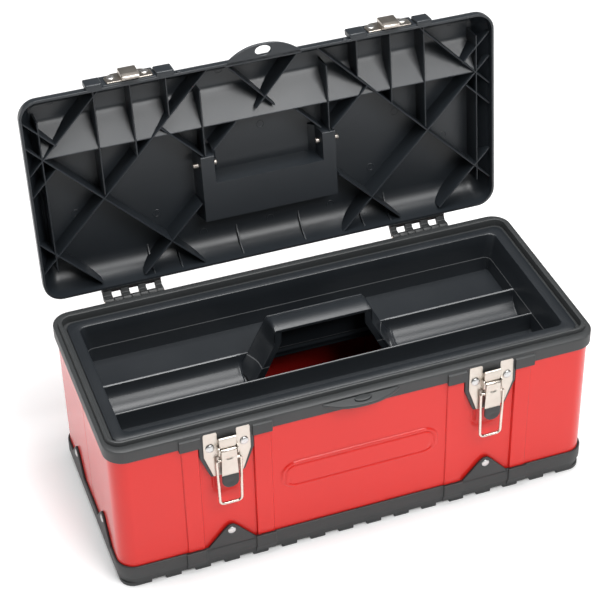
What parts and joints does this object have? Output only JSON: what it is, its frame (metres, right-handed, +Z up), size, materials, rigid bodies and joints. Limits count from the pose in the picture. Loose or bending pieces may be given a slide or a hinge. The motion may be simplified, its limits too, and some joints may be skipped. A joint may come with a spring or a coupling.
{
  "type": "toolbox with tray",
  "caption": "Steel and plastic toolbox with hinged ribbed lid, lift-out divided tray and front draw latches.",
  "frame": {"origin": "middle of the flat underside of the base, on the surface the box stands on", "axes": "+X along the box towards its right end, -Y towards the latched front, +Z up"},
  "size_m": [0.5116, 0.314, 0.4228],
  "materials": {
    "red_paint": "smooth satin-gloss red paint on pressed steel sheet",
    "base_plastic": "fine-grained grey-black moulded plastic",
    "black_plastic": "satin black moulded plastic",
    "tray_plastic": "smooth semi-gloss black moulded plastic",
    "lid_plastic": "smooth semi-gloss black moulded plastic",
    "hinge_plastic": "satin black",
    "grip_plastic": "smooth black",
    "nickel_plate": "bright warm nickel-plated pressed steel",
    "wire_steel": "plated round steel wire",
    "rivet_metal": "bright domed rivet"
  },
  "bodies": {
    "box": {"body_shell": "red_paint", "front_badge": "red_paint", "base_moulding": "base_plastic", "top_collar": "black_plastic", "base_rivet_front_left": "rivet_metal", "base_rivet_rear_left": "rivet_metal", "base_rivet_left_end_front": "rivet_metal", "base_rivet_left_end_rear": "rivet_metal", "base_rivet_front_right": "rivet_metal", "base_rivet_rear_right": "rivet_metal", "base_rivet_right_end_front": "rivet_metal", "base_rivet_right_end_rear": "rivet_metal", "latch_left_rivet_a": "rivet_metal", "latch_left_rivet_b": "rivet_metal", "latch_right_rivet_a": "rivet_metal", "latch_right_rivet_b": "rivet_metal", "latch_plate_left": "nickel_plate", "lever_pin_left": "nickel_plate", "hinge_body_leaf_left": "hinge_plastic", "hinge_pin_left": "wire_steel", "latch_plate_right": "nickel_plate", "lever_pin_right": "nickel_plate", "hinge_body_leaf_right": "hinge_plastic", "hinge_pin_right": "wire_steel"},
    "lid": {"lid_shell": "lid_plastic", "hinge_lid_leaf_left": "hinge_plastic", "handle_pin_left": "nickel_plate", "keeper_left": "nickel_plate", "hinge_lid_leaf_right": "hinge_plastic", "handle_pin_right": "nickel_plate", "keeper_right": "nickel_plate", "keeper_left_rivet_a": "rivet_metal", "keeper_left_rivet_b": "rivet_metal", "keeper_right_rivet_a": "rivet_metal", "keeper_right_rivet_b": "rivet_metal"},
    "carry_handle": {"lid_handle": "lid_plastic"},
    "tray": {"tray": "tray_plastic"},
    "lever_left": {"lever_left": "nickel_plate", "lever_grip_left": "grip_plastic"},
    "bail_left": {"bail_left": "wire_steel"},
    "lever_right": {"lever_right": "nickel_plate", "lever_grip_right": "grip_plastic"},
    "bail_right": {"bail_right": "wire_steel"}
  },
  "joints": [
    {"name": "lid_hinge", "type": "hinge", "parent": "box", "child": "lid", "pos_m": [0, 0.124, 0.174], "axis": [-1, 0, 0], "range_deg": [-96.2, 0]},
    {"name": "carry_handle_hinge", "type": "hinge", "parent": "lid", "child": "carry_handle", "pos_m": [0, 0.15971, 0.29435], "axis": [1, 0, 0], "range_deg": [0, 90]},
    {"name": "tray_lift", "type": "slide", "parent": "box", "child": "tray", "axis": [0, 0, 1], "range_m": [0, 0.2]},
    {"name": "lever_left_hinge", "type": "hinge", "parent": "box", "child": "lever_left", "pos_m": [-0.138, -0.12, 0.156], "axis": [-1, 0, 0], "range_deg": [0, 115]},
    {"name": "bail_left_hinge", "type": "hinge", "parent": "lever_left", "child": "bail_left", "pos_m": [-0.138, -0.12, 0.145], "axis": [1, 0, 0], "range_deg": [-180, 0]},
    {"name": "lever_right_hinge", "type": "hinge", "parent": "box", "child": "lever_right", "pos_m": [0.138, -0.12, 0.156], "axis": [-1, 0, 0], "range_deg": [0, 115]},
    {"name": "bail_right_hinge", "type": "hinge", "parent": "lever_right", "child": "bail_right", "pos_m": [0.138, -0.12, 0.145], "axis": [1, 0, 0], "range_deg": [-180, 0]}
  ]
}
